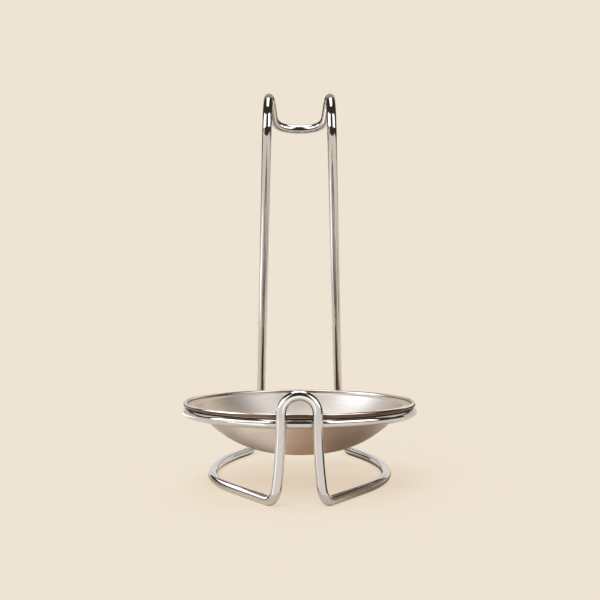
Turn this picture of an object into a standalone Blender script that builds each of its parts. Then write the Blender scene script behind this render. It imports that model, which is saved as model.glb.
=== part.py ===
"""Ladle rest: a stand bent from one closed loop of round wire, a ring welded to its front arch, and a pressed
steel drip bowl that hangs in the ring by its flange and lifts out for washing.

The ladle's head stands in the bowl and its handle leans in the saddle at the top of the stand. Sizes are
in metres. The ring's axis is the Z axis, the table top is z = 0, and the front of the stand faces -Y.
"""

import math

import bpy
from mathutils import Vector

# Wire stock, and the clearance kept wherever two pieces meet
WIRE_DIAMETER = 0.0050
SEAT_GAP = 0.0003

# Ring that carries the bowl, measured on the wire's centreline
RING_RADIUS = 0.0595
RING_HEIGHT = 0.0396

# Front arch: a round top above the ring, on two legs that flare forwards and apart towards the table
ARCH_RADIUS = 0.0090
ARCH_RISE = 0.0145
LEG_SPREAD = 0.0028
LEG_FLARE = 0.0053
FRONT_BEND_RADIUS = 0.0060

# Feet: wires on the table that bow outwards from the front bends to the rear bends
FOOT_HALF_WIDTH = 0.0475
FOOT_WIDEST_Y = 0.0300
TOE_ANGLE = math.radians(27.3)
HEEL_ANGLE = math.radians(20.0)
REAR_BEND_RADIUS = 0.0110

# Uprights: they rise from the rear bends, lean forwards over the bowl and close in towards the top
HEEL_Y = 0.1280
HEEL_HALF_WIDTH = 0.0244
UPRIGHT_LEAN = math.radians(31.4)
UPRIGHT_HEIGHT = 0.1830
UPRIGHT_TOP_HALF_WIDTH = 0.0176

# Hook and saddle: the uprights roll over backwards, run down in a straight tail, close in on the way and join in
# the bowed bar that the handle leans on
HOOK_RADIUS = 0.0157
HOOK_PAST_TOP = math.radians(40.0)
HOOK_TAIL = 0.0179
HOOK_TOP_BEND_RADIUS = 0.0600
SADDLE_HALF_WIDTH = 0.0141
SADDLE_CORNER_RADIUS = 0.0085
SADDLE_BOW = math.radians(15.7)
SADDLE_BOW_RADIUS = 0.0314

# Drip bowl, pressed from sheet: a dished wall inside the ring, a flange that lies on it and a rolled edge
BOWL_SHEET = 0.0007
BOWL_DEPTH = 0.0249
BOWL_FLOOR_RADIUS = 0.0080
WALL_CLEARANCE = 0.0013
FLANGE_FILLET = 0.0012
BEAD_DIAMETER = 0.0022
RIM_CLEARANCE = 0.00036

# Weld fillets round the two places where the ring crosses the arch
WELD_RADIUS = 0.0033
WELD_DEPTH = 0.0032

# Facets
BEND_STEP = math.radians(10.0)
LONG_ARC_POINTS = 12
BOW_POINTS = 4
FILLET_POINTS = 5
BEAD_POINTS = 10
WIRE_BEVEL_RESOLUTION = 4
RING_SEGMENTS = 72
RING_SECTION_SEGMENTS = 12
BOWL_SEGMENTS = 72
WELD_SEGMENTS = 24
AXIS_MERGE = 0.00001

# Places that several pieces share
WIRE_RADIUS = WIRE_DIAMETER / 2
ARCH_SPRING_HEIGHT = RING_HEIGHT + ARCH_RISE - ARCH_RADIUS
ARCH_Y = -math.sqrt((RING_RADIUS + WIRE_DIAMETER + SEAT_GAP) ** 2 - ARCH_RADIUS**2)
UPRIGHT_LENGTH = (UPRIGHT_HEIGHT - WIRE_RADIUS) / math.cos(UPRIGHT_LEAN)
HOOK_LENGTH = HOOK_RADIUS * (UPRIGHT_LEAN + math.pi / 2 + HOOK_PAST_TOP)
HEEL = Vector((HEEL_HALF_WIDTH, HEEL_Y, WIRE_RADIUS))
FOOT_WIDEST = Vector((FOOT_HALF_WIDTH, FOOT_WIDEST_Y, WIRE_RADIUS))


# Geometry helpers


def arc(centre, radius, start, end, count):
    """Points of an arc in a plane, from angle start to angle end."""
    angles = [start + (end - start) * i / (count - 1) for i in range(count)]
    return [(centre[0] + radius * math.cos(a), centre[1] + radius * math.sin(a)) for a in angles]


def bend(before, corner, after, radius):
    """Points of the round bend that a wire makes at a corner between two straight runs."""
    inward = (before - corner).normalized()
    outward = (after - corner).normalized()
    half_angle = inward.angle(outward) / 2
    centre = corner + (inward + outward).normalized() * radius / math.sin(half_angle)
    first = corner + inward * radius / math.tan(half_angle) - centre
    last = corner + outward * radius / math.tan(half_angle) - centre
    turn = math.pi - 2 * half_angle
    steps = math.ceil(turn / BEND_STEP)
    turned = [turn * i / steps for i in range(steps + 1)]
    return [centre + (first * math.sin(turn - a) + last * math.sin(a)) / math.sin(turn) for a in turned]


def bowed_run(corner, angle):
    """Points of a foot wire that leaves a corner straight, at an angle to the Y axis, and bows to its
    widest point, where it runs along Y."""
    across = FOOT_WIDEST.x - corner.x
    along = abs(FOOT_WIDEST.y - corner.y)
    radius = (along * math.sin(angle) - across * math.cos(angle)) / (1 - math.cos(angle))
    side = math.copysign(radius, corner.y - FOOT_WIDEST.y)
    angles = [angle * (1 - i / (LONG_ARC_POINTS - 1)) for i in range(LONG_ARC_POINTS)]
    return [FOOT_WIDEST + Vector((radius * (math.cos(a) - 1), side * math.sin(a), 0.0)) for a in angles]


# Centreline of the wire loop


def leg_point(height):
    """A point of the right leg, which is upright under the arch and flares in a curve down to the table."""
    share = (ARCH_SPRING_HEIGHT - height) / (ARCH_SPRING_HEIGHT - WIRE_RADIUS)
    return Vector((ARCH_RADIUS + LEG_SPREAD * share**2, ARCH_Y - LEG_FLARE * share**2, height))


def arch_and_foot():
    """Right half of the loop from the top of the arch to the rear end of the foot."""
    quarter = math.pi / 2
    round_top = arc((0.0, ARCH_SPRING_HEIGHT), ARCH_RADIUS, quarter, 0.0, math.ceil(quarter / BEND_STEP) + 1)
    toe = leg_point(WIRE_RADIUS)
    leg_end = leg_point(WIRE_RADIUS + 2 * FRONT_BEND_RADIUS)
    drop = ARCH_SPRING_HEIGHT - leg_end.z
    leg = [leg_point(ARCH_SPRING_HEIGHT - drop * i / LONG_ARC_POINTS) for i in range(1, LONG_ARC_POINTS)]
    front_run = bowed_run(toe, TOE_ANGLE)
    rear_run = bowed_run(HEEL, HEEL_ANGLE)
    points = [Vector((x, ARCH_Y, z)) for x, z in round_top] + leg
    points += bend(leg_end, toe, front_run[0], FRONT_BEND_RADIUS)
    points += front_run + rear_run[-2::-1]
    return points


def side_profile(distance):
    """Y and Z of an upright at a distance along it from the rear corner: straight, rolled back, and then straight
    down to the saddle."""
    run = min(distance, UPRIGHT_LENGTH)
    roll = min(distance - run, HOOK_LENGTH)
    tail = distance - run - roll
    turned = UPRIGHT_LEAN - roll / HOOK_RADIUS
    y = HEEL_Y - run * math.sin(UPRIGHT_LEAN) + HOOK_RADIUS * (math.cos(UPRIGHT_LEAN) - math.cos(turned))
    z = WIRE_RADIUS + run * math.cos(UPRIGHT_LEAN) + HOOK_RADIUS * (math.sin(UPRIGHT_LEAN) - math.sin(turned))
    return y - tail * math.sin(turned), z + tail * math.cos(turned)


def saddle_bar(length):
    """Right half of the bowed bar, laid out flat, from the end of its bow to its middle at a given length."""
    angles = [SADDLE_BOW * (1 - i / (BOW_POINTS - 1)) for i in range(BOW_POINTS)]
    bow = [(SADDLE_BOW_RADIUS * math.sin(a), SADDLE_BOW_RADIUS * (1 - math.cos(a))) for a in angles]
    return [Vector((across, length - rise, 0.0)) for across, rise in bow]


def point_at(line, distance):
    """The point of a flat line that lies at a distance along the upright."""
    for start, end in zip(line, line[1:]):
        if start.y <= distance <= end.y:
            return start.lerp(end, (distance - start.y) / (end.y - start.y))
    raise ValueError(f"the line does not reach {distance}")


def upright_and_saddle():
    """Right half of the loop from the rear bend to the middle of the saddle bar. The uprights are first laid
    out flat, as a tapered loop with rounded corners, and then rolled on to the side profile."""
    top_length = UPRIGHT_LENGTH + HOOK_RADIUS * (math.pi / 2 + UPRIGHT_LEAN)
    length = UPRIGHT_LENGTH + HOOK_LENGTH + HOOK_TAIL
    taper = (HEEL_HALF_WIDTH - UPRIGHT_TOP_HALF_WIDTH) / UPRIGHT_LENGTH
    foot = Vector((HEEL_HALF_WIDTH, 0.0, 0.0))
    top = Vector((HEEL_HALF_WIDTH - taper * top_length, top_length, 0.0))
    bar = saddle_bar(length)
    run = SADDLE_HALF_WIDTH - bar[0].x
    corner = bar[0] + Vector((run, -run * math.tan(SADDLE_BOW), 0.0))
    saddle_corner = bend(top, corner, bar[0], SADDLE_CORNER_RADIUS)
    side = [foot] + bend(foot, top, corner, HOOK_TOP_BEND_RADIUS) + saddle_corner[:1]
    steps = math.ceil((length - UPRIGHT_LENGTH) / HOOK_RADIUS / BEND_STEP)
    distances = [UPRIGHT_LENGTH + (length - UPRIGHT_LENGTH) * i / steps for i in range(steps)]
    flat = [point_at(side, d) for d in distances if d < saddle_corner[0].y]
    flat += saddle_corner + bar[1:]
    rolled = [Vector((point.x, *side_profile(point.y))) for point in flat]
    return bend(bowed_run(HEEL, HEEL_ANGLE)[0], HEEL, rolled[0], REAR_BEND_RADIUS) + rolled


def frame_centreline():
    """The whole closed loop: the right half from arch to saddle, and its mirror image back again."""
    right = arch_and_foot() + upright_and_saddle()
    left = [Vector((-point.x, point.y, point.z)) for point in right[-2:0:-1]]
    return right + left


# Bowl section


def bowl_section():
    """Half section of the bowl as (radius, height): up the inside, over the rolled edge and down the outside.
    The wall's radius follows from the depth and from the ring that the wall has to pass through."""
    flange_under = RING_HEIGHT + WIRE_RADIUS + SEAT_GAP
    floor = flange_under - BOWL_DEPTH
    fillet_centre = (RING_RADIUS - WIRE_RADIUS - WALL_CLEARANCE, flange_under - FLANGE_FILLET)
    across = fillet_centre[0] - BOWL_FLOOR_RADIUS
    up = BOWL_DEPTH - FLANGE_FILLET
    wall_radius = (across**2 + up**2 - FLANGE_FILLET**2) / (2 * BOWL_DEPTH)
    wall_centre = (BOWL_FLOOR_RADIUS, floor + wall_radius)
    wall_end = math.atan2(up - wall_radius, across)
    bead_radius = BEAD_DIAMETER / 2
    rim_radius = -ARCH_Y - WIRE_RADIUS - RIM_CLEARANCE
    bead_centre = (rim_radius - bead_radius, flange_under + bead_radius)
    bead_start = math.pi - math.asin((BOWL_SHEET - bead_radius) / bead_radius)
    up_angle = math.pi / 2
    down_angle = -math.pi / 2
    crease = wall_end + math.pi
    inside = arc(wall_centre, wall_radius - BOWL_SHEET, down_angle, wall_end, LONG_ARC_POINTS)
    inside += arc(fillet_centre, FLANGE_FILLET + BOWL_SHEET, crease, up_angle, FILLET_POINTS)
    edge = arc(bead_centre, bead_radius, bead_start, down_angle, BEAD_POINTS)
    outside = arc(fillet_centre, FLANGE_FILLET, up_angle, crease, FILLET_POINTS)
    outside += arc(wall_centre, wall_radius, wall_end, down_angle, LONG_ARC_POINTS)[1:]
    return [(0.0, floor + BOWL_SHEET)] + inside + edge + outside + [(0.0, floor)]


# Scene objects


def clear_scene():
    for obj in list(bpy.data.objects):
        bpy.data.objects.remove(obj, do_unlink=True)


def new_collection(name):
    collection = bpy.data.collections.new(name)
    bpy.context.scene.collection.children.link(collection)
    return collection


def new_material(name, colour, roughness, metallic):
    material = bpy.data.materials.new(name)
    material.use_nodes = True
    shader = material.node_tree.nodes["Principled BSDF"]
    shader.inputs["Base Color"].default_value = (*colour, 1.0)
    shader.inputs["Roughness"].default_value = roughness
    shader.inputs["Metallic"].default_value = metallic
    return material


def place(obj, collection, parent=None):
    for owner in list(obj.users_collection):
        owner.objects.unlink(obj)
    collection.objects.link(obj)
    obj.parent = parent


def place_cutter(obj, name, collection):
    obj.name = name
    place(obj, collection)
    obj.hide_render = True
    obj.display_type = "WIRE"
    return obj


def new_empty(name, height, collection, parent=None):
    empty = bpy.data.objects.new(name, None)
    place(empty, collection, parent)
    empty.location.z = height
    return empty


def build_frame(collection, parent, material):
    points = frame_centreline()
    curve = bpy.data.curves.new("wire_frame", "CURVE")
    curve.dimensions = "3D"
    curve.bevel_depth = WIRE_RADIUS
    curve.bevel_resolution = WIRE_BEVEL_RESOLUTION
    spline = curve.splines.new("POLY")
    spline.points.add(len(points) - 1)
    for target, point in zip(spline.points, points):
        target.co = (*point, 1.0)
    spline.use_cyclic_u = True
    spline.use_smooth = True
    curve.materials.append(material)
    place(bpy.data.objects.new("wire_frame", curve), collection, parent)


def add_torus(tube_radius):
    bpy.ops.mesh.primitive_torus_add(
        major_radius=RING_RADIUS,
        minor_radius=tube_radius,
        major_segments=RING_SEGMENTS,
        minor_segments=RING_SECTION_SEGMENTS,
        location=(0.0, 0.0, RING_HEIGHT),
    )
    return bpy.context.object


def build_ring(collection, parent, material):
    ring = add_torus(WIRE_RADIUS)
    ring.name = "bowl_ring"
    ring.data.shade_smooth()
    ring.data.materials.append(material)
    place(ring, collection, parent)


def add_cut(obj, cutter):
    modifier = obj.modifiers.new(f"clear {cutter.name}", "BOOLEAN")
    modifier.operation = "DIFFERENCE"
    modifier.solver = "EXACT"
    modifier.object = cutter


def build_weld(name, side, ring_cutter, collections, parent, material):
    """A flat blob of weld metal round a crossing, hollowed to lie between the ring and the leg before it."""
    parts, cutters = collections
    crossing = leg_point(RING_HEIGHT)
    crossing.x *= side
    outward = Vector((crossing.x, crossing.y, 0.0)).normalized()
    bpy.ops.mesh.primitive_cylinder_add(
        vertices=WELD_SEGMENTS,
        radius=WIRE_RADIUS + SEAT_GAP,
        depth=4 * WELD_RADIUS,
        location=crossing,
    )
    leg_cutter = place_cutter(bpy.context.object, f"{name}_leg_cutter", cutters)
    bpy.ops.mesh.primitive_uv_sphere_add(
        segments=WELD_SEGMENTS,
        ring_count=WELD_SEGMENTS // 2,
        radius=1.0,
        location=crossing - outward * (WIRE_DIAMETER + SEAT_GAP) / 2,
        rotation=outward.to_track_quat("Y", "Z").to_euler(),
    )
    weld = bpy.context.object
    weld.name = name
    weld.scale = (WELD_RADIUS, WELD_DEPTH / 2, WELD_RADIUS)
    weld.data.shade_smooth()
    weld.data.materials.append(material)
    place(weld, parts, parent)
    add_cut(weld, ring_cutter)
    add_cut(weld, leg_cutter)


def build_bowl(collection, parent, material):
    """The bowl hangs on an empty on the ring's axis, along which it lifts out."""
    section = [(radius, 0.0, height - RING_HEIGHT) for radius, height in bowl_section()]
    mesh = bpy.data.meshes.new("drip_bowl")
    mesh.from_pydata(section, [(i, i + 1) for i in range(len(section) - 1)], [])
    mesh.materials.append(material)
    bowl = bpy.data.objects.new("drip_bowl", mesh)
    place(bowl, collection, parent)
    turned = bowl.modifiers.new("turn", "SCREW")
    turned.axis = "Z"
    turned.steps = BOWL_SEGMENTS
    turned.render_steps = BOWL_SEGMENTS
    turned.use_merge_vertices = True
    turned.merge_threshold = AXIS_MERGE
    turned.use_smooth_shade = True


def main():
    clear_scene()
    parts = new_collection("ladle_rest")
    cutters = new_collection("ladle_rest_cutters")
    chrome = new_material("bright chrome", (0.80, 0.79, 0.77), 0.06, 1.0)
    weld_metal = new_material("plated weld", (0.72, 0.71, 0.69), 0.18, 1.0)
    brushed = new_material("brushed stainless steel", (0.66, 0.63, 0.60), 0.28, 1.0)
    stand = new_empty("stand", 0.0, parts)
    bowl_lift = new_empty("bowl_lift", RING_HEIGHT, parts, stand)
    build_frame(parts, stand, chrome)
    build_ring(parts, stand, chrome)
    ring_cutter = place_cutter(add_torus(WIRE_RADIUS + SEAT_GAP), "ring_cutter", cutters)
    for name, side in (("left_ring_weld", -1.0), ("right_ring_weld", 1.0)):
        build_weld(name, side, ring_cutter, (parts, cutters), stand, weld_metal)
    build_bowl(parts, bowl_lift, brushed)


main()
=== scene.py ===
"""Finish of a wire ladle rest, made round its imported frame.

One closed loop of chromed wire makes the stand, a chromed ring is welded to its front arch, and a turned
bowl of brushed steel hangs in the ring and lifts out for washing. Each operator makes one kind of piece,
and the last one sets the stage. Sizes are in metres. The ring's axis is the Z axis, the table top is
z = 0, and the front of the stand faces -Y.
"""

import math

import bmesh
import bpy
from bpy.props import FloatProperty, FloatVectorProperty, PointerProperty
from bpy.types import Operator, Panel, PropertyGroup
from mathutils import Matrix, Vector


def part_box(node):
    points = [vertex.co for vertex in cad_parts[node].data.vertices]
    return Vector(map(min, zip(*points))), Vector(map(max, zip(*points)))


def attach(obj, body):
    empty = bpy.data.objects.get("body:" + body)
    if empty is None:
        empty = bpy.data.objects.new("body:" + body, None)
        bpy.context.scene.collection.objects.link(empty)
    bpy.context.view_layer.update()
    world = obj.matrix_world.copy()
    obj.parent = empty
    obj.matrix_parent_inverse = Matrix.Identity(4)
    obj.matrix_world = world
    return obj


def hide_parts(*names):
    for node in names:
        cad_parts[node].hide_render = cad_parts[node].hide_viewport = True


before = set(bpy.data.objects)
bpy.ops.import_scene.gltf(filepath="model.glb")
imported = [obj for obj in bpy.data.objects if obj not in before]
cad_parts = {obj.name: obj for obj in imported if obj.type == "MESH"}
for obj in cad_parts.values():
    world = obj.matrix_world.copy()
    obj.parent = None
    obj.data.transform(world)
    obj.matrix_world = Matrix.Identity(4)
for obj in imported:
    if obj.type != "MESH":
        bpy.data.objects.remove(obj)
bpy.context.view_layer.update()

bl_info = {
    "name": "Ladle Rest",
    "version": (1, 0, 0),
    "blender": (4, 5, 0),
    "location": "3D View > Sidebar > Ladle Rest",
    "description": "Makes the chromed stand, its ring and welds, the brushed drip bowl and a plain stage",
    "category": "Object",
}

RING_LOW, RING_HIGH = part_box("bowl_ring")
BOWL_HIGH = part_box("drip_bowl")[1]
WIRE_STOCK = RING_HIGH.z - RING_LOW.z
HANDS = (("left", -1.0), ("right", 1.0))

# Fineness of the meshes
BEND_STEP = math.radians(3.0)
RUN_POINTS = 40
BOW_POINTS = 8
WIRE_SIDES = 32
WIRE_SPACING = 0.0005
BEND_EASING = 8
RING_POINTS = 360
WALL_POINTS = 56
FILLET_POINTS = 9
BEAD_POINTS = 21
BOWL_STEPS = 240
WELD_STEPS = 48
WELD_RINGS = 6
WELD_EDGE_POINTS = 7
SEAM_DISTANCE = 1e-6
DOUBLES_DISTANCE = 1e-7

# Shape of a weld: its bite into the wires, then shares of its reach and counts round it
WELD_BITE = 0.00008
WELD_WAIST = 0.70
WELD_HOLLOW = 0.10
LUMP_COUNT, LUMP_HEIGHT = 3, 0.05
RIPPLE_COUNT, RIPPLE_HEIGHT = 7, 0.03

# Chrome plate: the handling marks by size, noise, spread and tone, and the waves in the polished wire
MARK_SIZE = 0.018
MARK_NOISE = {"Detail": 4.0, "Roughness": 0.6}
MARK_SPREAD = (0.35, 0.75)
MARK_TONE = 0.93
WAVE_LENGTH = 0.009
WAVE_DETAIL = 1.0

# Brushed steel: the grooves of a 180 grit belt are about 0.1 mm apart, drawn at 0.4 mm so that they show
FINE_GRAIN = {"groove": 0.0004, "streak": 0.014, "detail": 2.0}
BROAD_GRAIN = {"groove": 0.0022, "streak": 0.030, "detail": 3.0}
BROAD_SHARE = 0.4
WALL_MIDDLE = 0.040
GRAIN_SPREAD = (0.3, 0.7)
GRAIN_ROUGHNESS = (0.52, 0.46)
GRAIN_RELIEF = 0.00004
GRAIN_STRENGTH = 0.35
GRAIN_STRETCH = 0.55
GRAIN_TURN = 0.25
BEAD_ROUGHNESS = 0.16
BEAD_FADE = 0.0004
# Heights above the middle of the rolled edge at which the painted shade under it begins and is full
EDGE_SHADE_FADE = (0.0006, 0.0002)

# Half the width of the paper floor
FLOOR_HALF = 40.0
# Edges of the paper that the metal mirrors: the axis, and where it is dark and where it is fully lit
TABLE_EDGES = (("X", -0.72, -0.66), ("X", 0.72, 0.66), ("Y", -0.27, -0.25), ("Y", 0.76, 0.74))
# Dark ovals on the paper that the metal mirrors, by centre and half axes, and the fade of their edges
BOWL_OVAL = ((0.034, 0.030), (0.072, 0.100))
LEFT_OVAL = ((-0.046, 0.014), (0.032, 0.032))
HEEL_OVAL = ((0.0, 0.070), (0.032, 0.045))
REAR_OVAL = ((0.0, 0.078), (0.066, 0.066))
OVAL_FADE = (0.5, 1.1)
# Distances between metal and paper over which the darkness fades
UPRIGHT_FADE = (0.045, 0.070)
FOOT_FADE = (0.020, 0.008)
REAR_FADE = (0.003, 0.007)
CONTACT_FADE = (0.0003, 0.0015)

# Shares of the floor's light: the lamp before the stand, the lamp behind it, and an even sky
FRONT_SHARE = 0.55
BACK_SHARE = 0.32
SKY_SHARE = 1.0 - FRONT_SHARE - BACK_SHARE
# Ways in which the two lamps shine, and how wide they look
FRONT_WAY = (0.25, 0.85, -1.0)
BACK_WAY = (0.0, -0.60, -1.0)
LAMP_SPREAD = math.radians(48.0)

# Boards that the metal mirrors. A plan is given in X and Y, heights are the low and the high edge, and a
# range is the nearest and the furthest distance from which a board is seen.
CLOTH_WHITE = "#FFF9F3"
ONE_FACE = ((0, 1, 2, 3),)
DIRECT_DEPTH = (0.0, 1.5)
ROUND_POINTS = 13
ROUND_DISTANCE = 0.6
DOME_POINTS = 7
DOME_DISTANCE = 0.1
LEFT_BOX_PLAN = ((-0.25, -0.47), (-0.62, -0.34), (-0.85, 0.05))
RIGHT_BOX_PLAN = ((0.25, -0.47), (0.85, -0.15))
FRONT_BOX_HEIGHTS = (0.17, 0.66)
LEFT_SIDE_PLAN = ((-0.151, 0.030), (-0.089, 0.087))
RIGHT_SIDE_PLAN = ((0.151, 0.030), (0.089, 0.087))
BACK_Y = 0.75
LOW_BACK = (0.0, 0.20)
HIGH_BACK = (0.36, 1.25)
TOP_DEPTH = (-0.23, 0.45)
TOP_HEIGHT = 1.0
HOOK_BOX_HEIGHT = 0.999
HOOK_RANGE = (0.0, 0.945)
BELOW_HOOKS_RANGE = (0.945, 2.0)
LEG_CARD_Y = -0.085
LEG_CARD_HEIGHTS = (0.0, 0.040)
LEG_CARD_SPLIT = -0.035
ARCH_CARD_HALF = 0.11
ARCH_CARD_TOP = (-0.0749, 0.054)
HOOK_FRONT = (0.0, 0.0131, 0.195)
BAR_CARD_AZIMUTHS = (15.0, 42.0)
BAR_CARD_RISES = (-2.0, 70.0)
BAR_CARD_RANGE = (0.111, 0.16)
RING_CARD_PLAN = ((0.151, 0.028), (0.089, 0.085))
RING_CARD_HEIGHTS = (0.012, 0.075)
RING_BOX_AZIMUTHS = (104.0, 150.0)
RING_BOX_HEIGHTS = (0.30, 0.70)
BOWL_CARD_HEIGHT = 0.001

# Camera of the picture: lens and sensor in millimetres, place, and dip in degrees
LENS = 88.8
SENSOR = 36.0
CAMERA_PLACE = (0.0003, -0.7797, 0.1270)
CAMERA_DIP = 2.135
CAMERA_CLIP = 0.01


def linear(hex_colour):
    """Linear red, green and blue of an sRGB hex colour."""
    parts = [int(hex_colour[i : i + 2], 16) / 255 for i in (1, 3, 5)]
    return [p / 12.92 if p <= 0.04045 else ((p + 0.055) / 1.055) ** 2.4 for p in parts]


def length(name, description, default):
    """A size in metres."""
    return FloatProperty(
        name=name, description=description, default=default, min=0.0, precision=4, unit="LENGTH"
    )


def angle(name, description, degrees):
    """A turn, shown in degrees."""
    return FloatProperty(name=name, description=description, default=math.radians(degrees), subtype="ANGLE")


def colour(name, description, hex_colour):
    """A colour, given as sRGB hex."""
    limits = {"size": 3, "min": 0.0, "max": 1.0, "subtype": "COLOR"}
    return FloatVectorProperty(name=name, description=description, default=linear(hex_colour), **limits)


class LadleRestWire(PropertyGroup):
    """Sizes of the stand's wire loop and of the ring, on the wire's centreline"""

    diameter: length("Wire diameter", "Thickness of the round wire", WIRE_STOCK)
    seat_gap: length("Seat gap", "Clearance where two pieces meet", 0.0003)
    ring_radius: length("Ring radius", "Radius of the bowl's ring", RING_HIGH.x - WIRE_STOCK / 2)
    ring_height: length("Ring height", "Height of the ring over the table", (RING_LOW.z + RING_HIGH.z) / 2)
    arch_radius: length("Arch radius", "Radius of the round top of the front arch", 0.0090)
    arch_rise: length("Arch rise", "Height of the arch over the ring", 0.0145)
    leg_spread: length("Leg spread", "How far a leg moves outwards on its way down", 0.0028)
    leg_flare: length("Leg flare", "How far a leg moves forwards on its way down", 0.0053)
    toe_bend: length("Toe bend", "Bend radius where a leg turns into a foot", 0.0060)
    toe_angle: angle("Toe angle", "Angle of the foot to the long axis at the toe", 27.3)
    foot_half_width: length("Foot half width", "Half the distance between the feet at their widest", 0.0475)
    foot_widest_y: length("Foot widest point", "How far behind the ring's axis the feet are widest", 0.0300)
    heel_angle: angle("Heel angle", "Angle of the foot to the long axis at the heel", 20.0)
    heel_bend: length("Heel bend", "Bend radius where a foot turns into an upright", 0.0110)
    heel_y: length("Heel place", "How far behind the ring's axis the uprights start", 0.1280)
    heel_half_width: length("Heel half width", "Half the distance between the heels", 0.0244)
    lean: angle("Lean", "How far the uprights lean forwards over the bowl", 31.4)
    upright_height: length("Upright height", "Height at which the hooks start", 0.1830)
    upright_top_half_width: length("Upright top half width", "Half the distance between the hooks", 0.0176)
    hook_radius: length("Hook radius", "Radius of the roll at the top of an upright", 0.0157)
    hook_past_top: angle("Hook past top", "How far the roll goes on behind its highest point", 40.0)
    hook_tail: length("Hook tail", "Straight run from the end of the roll down to the saddle", 0.0179)
    hook_top_bend: length("Hook top bend", "Bend radius where the hooks start to close in", 0.0600)
    saddle_half_width: length("Saddle half width", "Half the distance between the saddle's corners", 0.0141)
    saddle_bend: length("Saddle bend", "Bend radius at the corners of the saddle", 0.0085)
    saddle_bow: angle("Saddle bow", "Slope of the saddle's bar at the ends of its bow", 15.7)
    saddle_bow_radius: length("Saddle bow radius", "Radius to which the saddle's bar is bowed", 0.0314)
    weld_reach: length("Weld reach", "How far a weld spreads from the middle of its crossing", 0.0033)


class LadleRestBowl(PropertyGroup):
    """Sizes of the drip bowl"""

    sheet: length("Sheet", "Thickness of the bowl's sheet", 0.0007)
    depth: length("Depth", "Depth of the bowl under its flange", 0.0249)
    floor_radius: length("Floor radius", "Radius of the flat floor of the bowl", 0.0080)
    wall_clearance: length("Wall clearance", "Room between the wall and the ring", 0.0013)
    flange_fillet: length("Flange fillet", "Radius where the wall turns out into the flange", 0.0012)
    bead_diameter: length("Bead diameter", "Thickness of the rolled edge", 0.0022)
    rim_radius: length("Rim radius", "Outer radius of the rolled edge", BOWL_HIGH.x)


class LadleRestFinish(PropertyGroup):
    """Colours of the metals and of the stage"""

    chrome: colour("Chrome", "Bright chrome plate on the wire", "#D8D8D9")
    weld: colour("Weld", "Chrome plate over the weld metal", "#B4AFA9")
    steel: colour("Steel", "Brushed stainless steel of the bowl", "#CFCBC7")
    steel_dark: colour("Steel in the grain", "Steel at the bottom of the brushed grooves", "#B4ADA5")
    # Painted shade: a dark colour on the steel under the rolled edge, where shade falls
    steel_edge: colour("Steel under the edge", "Painted shade on the steel under the rolled edge", "#6A5443")
    paper: colour("Paper", "Lit floor and backdrop", "#EFE4D3")
    paper_shade: colour("Paper in shade", "Floor under the bowl", "#DBC9B2")
    paper_gloom: colour("Paper in gloom", "Floor under the bowl, as the metal mirrors it", "#8E6A4E")
    paper_contact: colour("Paper at a foot", "Floor close to a foot, as the foot mirrors it", "#8B7A6B")
    paper_dark: colour("Paper in the dark", "Floor between the heels, as the metal mirrors it", "#43352A")
    room: colour("Room", "Dim room round the paper, as the metal mirrors it", "#3E372E")


def new_object(name, data):
    """A new object in the scene."""
    item = bpy.data.objects.new(name, data)
    bpy.context.scene.collection.objects.link(item)
    return item


# Nodes


def add(tree, kind, inputs=None, **settings):
    """Adds a node with its settings. An input takes a plain value, a socket, or a node's first output."""
    node = tree.nodes.new(kind)
    for name, value in settings.items():
        setattr(node, name, value)
    for key, value in (inputs or {}).items():
        if isinstance(key, int):
            socket = node.inputs[key]
        else:
            socket = next(s for s in node.inputs if s.enabled and s.name == key)
        if isinstance(value, bpy.types.Node):
            value = next(s for s in value.outputs if s.enabled)
        if isinstance(value, bpy.types.NodeSocket):
            tree.links.new(value, socket)
        else:
            socket.default_value = value
    return node


def opaque(shade):
    """A colour as a colour socket takes it."""
    return (*shade, 1.0)


def new_tree(name, inputs):
    """An empty geometry tree with one geometry input, the named inputs and one geometry output."""
    tree = bpy.data.node_groups.new(name, "GeometryNodeTree")
    tree.interface.new_socket("Geometry", in_out="INPUT", socket_type="NodeSocketGeometry")
    for socket_name, kind in inputs.items():
        tree.interface.new_socket(socket_name, in_out="INPUT", socket_type=kind)
    tree.interface.new_socket("Geometry", in_out="OUTPUT", socket_type="NodeSocketGeometry")
    return tree, tree.nodes.new("NodeGroupInput").outputs


def close_tree(tree, geometry, finish):
    """The end that every tree has: smooth shading, real meshes and the finish."""
    smooth = add(tree, "GeometryNodeSetShadeSmooth", {"Geometry": geometry})
    real = add(tree, "GeometryNodeRealizeInstances", {"Geometry": smooth})
    finished = add(tree, "GeometryNodeSetMaterial", {"Geometry": real, "Material": finish})
    add(tree, "NodeGroupOutput", {"Geometry": finished})


def wire_tree():
    """Sweeps round wire along a path, whose corners are eased as wire eases round a forming pin."""
    tree, group = new_tree(
        "Wire along a path",
        {
            "Wire Radius": "NodeSocketFloat",
            "Sides": "NodeSocketInt",
            "Spacing": "NodeSocketFloat",
            "Easing": "NodeSocketInt",
            "Finish": "NodeSocketMaterial",
        },
    )
    path = add(tree, "GeometryNodeMeshToCurve", {"Mesh": group["Geometry"]})
    spaced = {"Curve": path, "Length": group["Spacing"]}
    even = add(tree, "GeometryNodeResampleCurve", spaced, mode="LENGTH")
    place = add(tree, "GeometryNodeInputPosition")
    blurred = {"Value": place, "Iterations": group["Easing"]}
    eased = add(tree, "GeometryNodeBlurAttribute", blurred, data_type="FLOAT_VECTOR")
    run = add(tree, "GeometryNodeSetPosition", {"Geometry": even, "Position": eased})
    circle = {"Resolution": group["Sides"], "Radius": group["Wire Radius"]}
    section = add(tree, "GeometryNodeCurvePrimitiveCircle", circle)
    wire = add(tree, "GeometryNodeCurveToMesh", {"Curve": run, "Profile Curve": section})
    close_tree(tree, wire, group["Finish"])
    return tree


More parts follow.
